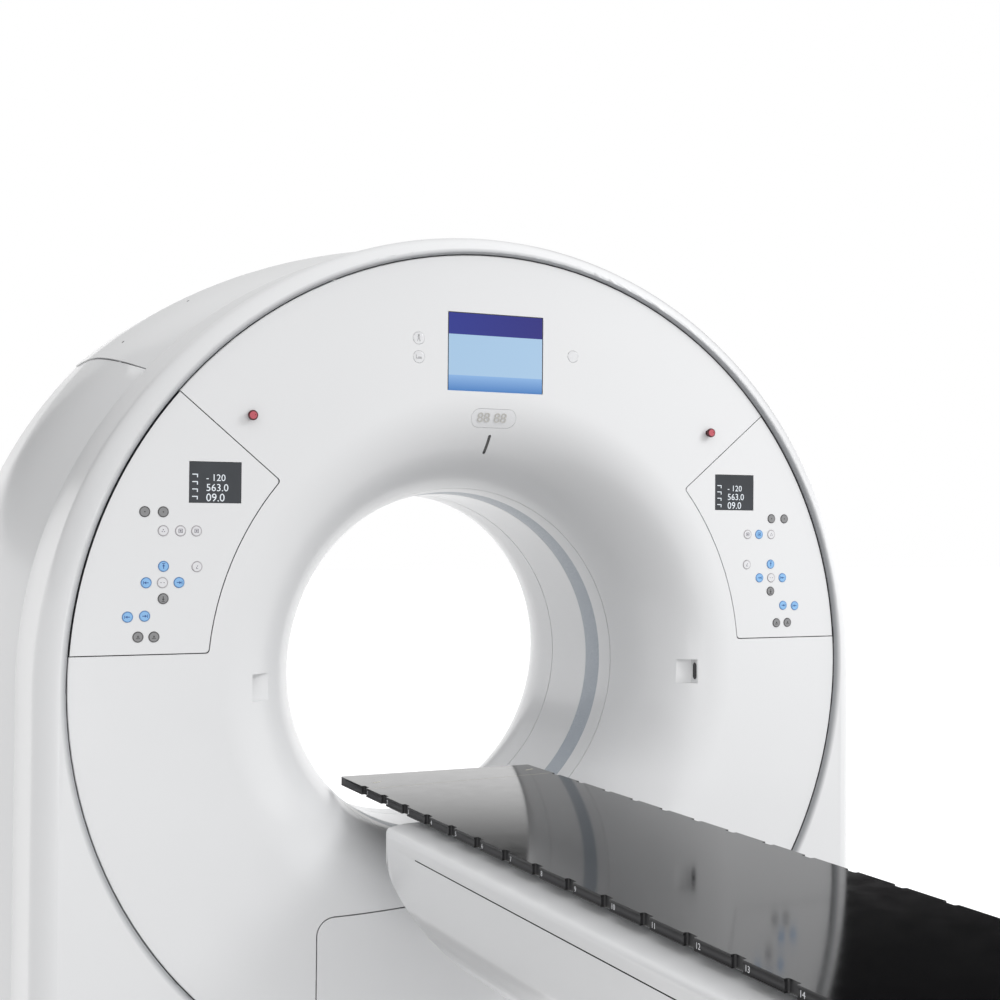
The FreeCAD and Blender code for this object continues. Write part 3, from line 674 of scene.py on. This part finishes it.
# each stroke: its form, middle x and y and turn, then a bar's width and height, a disc's radius and sides,
# or a ring's inner and outer radius
signStrokes = {
    "arrow": (("disc", 0.0020, 0, -math.pi / 2, 0.0036, 3), ("bar", -0.0026, 0, 0, 0.0056, 0.0018),
              ("bar", 0.0064, 0, 0, 0.0014, 0.0072)),
    "ring": (("ring", 0, 0, 0, 0.0038, 0.0050), ("disc", 0, 0, 0, 0.0016, 16)),
    "dots": (("disc", -0.0026, -0.0018, 0, 0.0012, 12), ("disc", 0.0026, -0.0018, 0, 0.0012, 12),
             ("disc", 0, 0.0026, 0, 0.0012, 12)),
    "frame": (("bar", -0.0042, 0, 0, 0.0012, 0.0090), ("bar", 0, -0.0040, 0, 0.0072, 0.0012),
              ("bar", 0.0042, 0, 0, 0.0012, 0.0090), ("bar", 0, 0.0040, 0, 0.0072, 0.0012),
              ("bar", 0, 0, 0, 0.0040, 0.0036)),
    "slash": (("bar", 0, 0, -0.5, 0.0012, 0.0080), ("bar", 0, -0.0042, 0, 0.0050, 0.0010)),
    "dash": (("bar", -0.0036, 0, 0, 0.0030, 0.0014), ("bar", 0.0036, 0, 0, 0.0030, 0.0014)),
    "home": (("bar", 0, -0.0034, 0, 0.0090, 0.0014), ("disc", 0, 0.0006, 0, 0.0034, 3)),
    "figure": (("disc", 0, 0.0070, 0, 0.0026, 16), ("bar", 0, 0.0026, 0, 0.0060, 0.0018),
               ("bar", -0.0022, -0.0035, -0.33667, 0.0014, 0.0090),
               ("bar", 0.0022, -0.0035, 0.33667, 0.0014, 0.0090)),
    "couch": (("bar", -0.0070, 0.0010, 0, 0.0014, 0.0080), ("bar", 0, -0.0036, 0, 0.0150, 0.0014),
              ("bar", 0.0020, -0.0008, 0, 0.0090, 0.0020)),
}


def drawSign(bm, kind, flat, thin):
    # a plain sign a few millimetres across, half of its thickness standing proud
    if kind in arrowTurns:
        flat = flat @ Matrix.Rotation(arrowTurns[kind], 4, "Z")
        kind = "arrow"
    for form, x, y, turn, first, second in signStrokes[kind]:
        place = flat @ Matrix.Translation((x, y, 0))
        if form == "bar":
            bar(bm, first, second, thin, place @ Matrix.Rotation(turn, 4, "Z"))
        elif form == "disc":
            disc(bm, first, thin, second, place, turn)
        else:
            hoop(bm, first, second, thin, place)


def upright(x, y, z):
    # a mark's own plane on a face that looks to the front
    return facing((1, 0, 0), (0, 0, 1), (x, y, z))


def capSkin(node, face, rim, margin):
    # the CAD button with a paler middle and a darker band round its edge, the band being painted shade of the
    # gap round the cap
    bm = cadCopy(node)
    front = min(vert.co.y for vert in bm.verts)
    cap = [f for f in bm.faces if f.normal.y < -0.99 and f.calc_center_median().y < front + 0.0001]
    whole = bmesh.ops.dissolve_faces(bm, faces=cap)["region"]
    bmesh.ops.inset_region(bm, faces=whole, thickness=margin)
    for f in bm.faces:
        f.material_index = 0 if f in whole else 1
    piece = newPiece(node + "_skin", bm, [face, rim], bodyOf[node], 40.0)
    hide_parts(node)


def makeKeys():
    for node in nodes:
        if "_key_" not in node:
            continue
        tones = keyFinishes[slotOf[node]]
        capSkin(node, tones["face"], tones["rim"], 0.0014)
        low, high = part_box(node)
        bm = bmesh.new()
        flat = upright((low.x + high.x) / 2, low.y, (low.z + high.z) / 2)
        drawSign(bm, keySigns[node.split("_key_")[1]], flat, printThin)
        newPiece(node + "_sign", bm, tones["ink"], bodyOf[node])


# the rim tone is painted shade of the gap round the button's face
stopLook = {"face": (0.55, 0.10, 0.13), "rim": (0.09, 0.004, 0.008), "ink": (0.22, 0.01, 0.02),
            "ringInner": 0.0044, "ringOuter": 0.0056, "tip": 0.0022, "tipPlace": (0.0050, 0.0010, 0)}


def makeStops():
    face = makePlain("stopFace", stopLook["face"], 0.3, 0.0, 500.0, 0.06, 0.05)
    rim = makePlain("stopRim", stopLook["rim"], 0.3, 0.0, 500.0, 0.06, 0.05)
    ink = makePlain("stopInk", stopLook["ink"], 0.4, 0.0, 500.0, 0.06, 0.05)
    for node in ("left_stop_button", "right_stop_button"):
        capSkin(node, face, rim, 0.0006)
        low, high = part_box(node)
        bm = bmesh.new()
        flat = upright((low.x + high.x) / 2, low.y, (low.z + high.z) / 2)
        hoop(bm, stopLook["ringInner"], stopLook["ringOuter"], printThin, flat)
        disc(bm, stopLook["tip"], signThin, 3, flat @ Matrix.Translation(stopLook["tipPlace"]), 0.3)
        newPiece(node + "_sign", bm, ink, bodyOf[node])


makeKeys()
makeStops()
print("keys and stop buttons made")


def makeLenses():
    # white lamps and countdown window, black laser windows
    bm = cadCopy("signal_lenses")
    for face in bm.faces:
        middle = face.calc_center_median()
        isSlit = abs(middle.x) < lensLook["slitHalf"] and middle.z < lensLook["slitTop"]
        isSide = abs(middle.x) > lensLook["sideFrom"]
        face.material_index = 1 if isSlit or isSide else 0
    looks = [finishes["lens_plastic"], lensBlack]
    piece = newPiece("signal_lenses_skin", bm, looks, "gantry")
    evenNormals(piece)
    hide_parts("signal_lenses")


# the grey hoops at these places are painted shade of the gap round each lamp lens
lampLook = {"places": ((-0.209, 1.823), (-0.208, 1.777), (0.217, 1.800)), "signs": ("figure", "couch"),
            "inner": 0.0137, "outer": 0.0149}


def lampFront():
    # the lamp lenses' own face, found among the vertices around the first lamp
    x, z = lampLook["places"][0]
    near = [vert.co.y for vert in nodes["signal_lenses"].data.vertices
            if math.hypot(vert.co.x - x, vert.co.z - z) < 0.02]
    return min(near) - 0.0001


def makeLampSigns():
    # grey hoops are painted shade of the gap round each lens; the signs inside them are print
    bm = bmesh.new()
    front = lampFront()
    for x, z in lampLook["places"]:
        hoop(bm, lampLook["inner"], lampLook["outer"], printThin, upright(x, front, z))
    for kind, (x, z) in zip(lampLook["signs"], lampLook["places"]):
        drawSign(bm, kind, upright(x, front, z), signThin)
    newPiece("lamp_signs", bm, printAndGapShadeGrey, "gantry")


countLook = {"text": "88 88", "size": 0.036, "height": 1.634, "tilt": 21.0, "startX": -0.046, "y": -0.3090}


def makeCountdown():
    bm = bmesh.new()
    tilt = math.radians(countLook["tilt"])
    up = (0, -math.sin(tilt), math.cos(tilt))
    addTo(bm, letters(countLook["text"], countLook["size"], signThin),
          facing((1, 0, 0), up, (countLook["startX"], countLook["y"], countLook["height"])))
    newPiece("countdown_figures", bm, ghostGrey, "gantry")


readLook = {"rows": (("- 120", 0.022, 0.010), ("563.0", 0.024, -0.013), ("09.0", 0.026, -0.036)),
            "ink": (0.62, 0.66, 0.70), "glow": 0.45, "panelX": 0.6505, "textX": -0.022, "markX": -0.048,
            "markLift": 0.018, "markPitch": 0.017, "marks": 4, "markBar": (0.012, 0.0022),
            "markHook": (0.0022, 0.0080), "hookX": 0.006, "hookZ": -0.003}


def makeReadouts():
    ink = Finish("readInk", readLook["ink"], 0.4)
    ink.feed("Base Color", ink.drift(0.1, 200.0))
    ink.feed("Emission Color", ink.drift(0.1, 200.0))
    ink.shader.inputs["Emission Strength"].default_value = readLook["glow"]
    low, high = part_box("side_displays")
    middleZ = (low.z + high.z) / 2
    middleX = (high.x + readLook["panelX"]) / 2
    front = low.y - 0.0001
    bm = bmesh.new()
    for side in (-1, 1):
        centreX = side * middleX
        for text, size, lift in readLook["rows"]:
            place = upright(centreX + readLook["textX"], front, middleZ + lift)
            addTo(bm, letters(text, size, printThin), place)
        for index in range(readLook["marks"]):
            x = centreX + readLook["markX"]
            z = middleZ + readLook["markLift"] - index * readLook["markPitch"]
            bar(bm, *readLook["markBar"], signThin, upright(x, front, z))
            hook = upright(x + readLook["hookX"], front, z + readLook["hookZ"])
            bar(bm, *readLook["markHook"], signThin, hook)
    newPiece("readout_figures", bm, ink, "gantry")


plugLook = {"radius": 0.0035, "depth": 0.0012,
            "spots": (((-0.6571, 0.1932, 1.9493), (-0.501, -0.133, 0.855)),
                      ((-0.8232, 0.2022, 1.8327), (-0.632, -0.157, 0.759)))}


def makePlugs():
    # two dark screw plugs on the top cover's left shoulder
    bm = bmesh.new()
    for place, out in plugLook["spots"]:
        out = Vector(out).normalized()
        right = Vector((0, 0, 1)).cross(out)
        disc(bm, plugLook["radius"], plugLook["depth"], 20, facing(right, out.cross(right), place))
    newPiece("top_plugs", bm, finishes["dark_plastic"], "gantry")


makePlugs()
makeLenses()
makeLampSigns()
makeCountdown()
makeReadouts()
print("lamps and displays made")


finishedNodes = ["front_cover", "bore_liner", "scan_window", "service_panel", "rear_cover", "rim_cover",
                 "left_side_cover", "right_side_cover", "top_cover", "couch_base", "couch_column", "cradle",
                 "couch_body", "tabletop", "signal_lenses"]
for node in nodes:
    if node in finishedNodes or "_key_" in node or node.endswith("_button"):
        continue
    setLook(node, finishes[slotOf[node]])
setLook("centre_display", centreScreen)
print("CAD nodes finished:", len(nodes))


cameraLook = {"place": (-1.620, -3.832, 1.362), "yaw": 24.949, "pitch": 0.994, "roll": 0.455, "lens": 55.64}


def makeCamera():
    data = bpy.data.cameras.new("camera")
    data.lens = cameraLook["lens"]
    data.sensor_width = 36.0
    data.clip_end = 60.0
    camera = bpy.data.objects.new("camera", data)
    bpy.context.scene.collection.objects.link(camera)
    turn = Matrix.Rotation(math.radians(-cameraLook["yaw"]), 4, "Z")
    lift = Matrix.Rotation(math.radians(90 + cameraLook["pitch"]), 4, "X")
    roll = Matrix.Rotation(math.radians(cameraLook["roll"]), 4, "Z")
    camera.matrix_world = Matrix.Translation(cameraLook["place"]) @ turn @ lift @ roll
    bpy.context.scene.camera = camera


studioLamps = {
    "keyLight": {"place": (3.5, -3.1, 4.2), "target": (0.9, 0, 1.5), "size": (2.0, 2.0), "power": 20.0,
                 "spread": 75.0},
    "fillLight": {"place": (-1.4, -5.0, 0.5), "target": (0.5, 0, 1.1), "size": (2.5, 1.0),
                  "power": 20.0, "spread": 180.0},
    "rearLight": {"place": (0.5, 5.0, 4.0), "target": (0, 0, 1.2), "size": (5.0, 3.0), "power": 30.0,
                  "spread": 180.0},
}
lightLook = {"zenith": 1.12, "nadir": 0.66, "floor": (0.80, 0.80, 0.81), "floorGlow": 0.46, "leftBack": 0.65,
             "haze": 0.008, "glare": 1.35, "hazeFrom": 0.165, "hazeTo": 0.205,
             "roofFrom": 0.42, "roofTo": 0.85, "roof": 0.75}


def makeArea(name, place, target, size, power, spread):
    data = bpy.data.lights.new(name, "AREA")
    data.shape = "RECTANGLE"
    data.size, data.size_y = size
    data.energy = power
    data.spread = math.radians(spread)
    lamp = bpy.data.objects.new(name, data)
    bpy.context.scene.collection.objects.link(lamp)
    aim = (Vector(target) - Vector(place)).to_track_quat("-Z", "Y")
    lamp.matrix_world = Matrix.Translation(place) @ aim.to_matrix().to_4x4()


def makeFloor():
    bm = bmesh.new()
    bmesh.ops.create_grid(bm, x_segments=1, y_segments=1, size=40.0)
    mesh = bpy.data.meshes.new("floor")
    bm.to_mesh(mesh)
    bm.free()
    look = Finish("floorPale", lightLook["floor"], 0.8)
    look.shader.inputs["Emission Color"].default_value = (1.0, 1.0, 1.0, 1.0)
    look.shader.inputs["Emission Strength"].default_value = lightLook["floorGlow"]
    mesh.materials.append(look.material)
    floor = bpy.data.objects.new("floor", mesh)
    bpy.context.scene.collection.objects.link(floor)
    floor.visible_diffuse = False
    floor.visible_glossy = False


def makeWorld():
    # white behind the object, soft light from above, and a dim band that keeps the black top black
    world = bpy.data.worlds.new("studio")
    bpy.context.scene.world = world
    world.use_nodes = True
    tree = world.node_tree
    shade = tree.nodes["Background"]
    path = tree.nodes.new("ShaderNodeLightPath")
    place = tree.nodes.new("ShaderNodeTexCoord")
    split = tree.nodes.new("ShaderNodeSeparateXYZ")
    tree.links.new(place.outputs["Generated"], split.inputs[0])

    def climb(source, low, high, start, end):
        ramp = tree.nodes.new("ShaderNodeMapRange")
        for socketName, value in (("From Min", low), ("From Max", high), ("To Min", start), ("To Max", end)):
            ramp.inputs[socketName].default_value = value
        tree.links.new(source.socket, ramp.inputs["Value"])
        return Link(tree, ramp.outputs[0])

    height = Link(tree, split.outputs["Z"])
    leftBack = Link(tree, split.outputs["Y"]) - Link(tree, split.outputs["X"])
    soft = climb(height, -0.2, 0.9, lightLook["nadir"], lightLook["zenith"])
    soft = soft * climb(leftBack, 0.1, 1.2, 1.0, lightLook["leftBack"])
    falling = climb(height, lightLook["hazeFrom"], lightLook["hazeTo"], lightLook["glare"], 0.0)
    rising = climb(height, lightLook["roofFrom"], lightLook["roofTo"], lightLook["haze"], lightLook["roof"])
    mirrored = falling + rising
    glossy = Link(tree, path.outputs["Is Glossy Ray"])
    seen = Link(tree, path.outputs["Is Camera Ray"])
    strength = (soft * (1 - glossy) + mirrored * glossy) * (1 - seen) + seen
    tree.links.new(strength.socket, shade.inputs["Strength"])
    shade.inputs["Color"].default_value = (1.0, 1.0, 1.0, 1.0)
    bpy.context.scene.view_settings.view_transform = "Standard"


def makeStudio():
    for name, values in studioLamps.items():
        makeArea(name, **values)
    makeFloor()
    makeWorld()


makeCamera()
makeStudio()
print("camera and studio set")
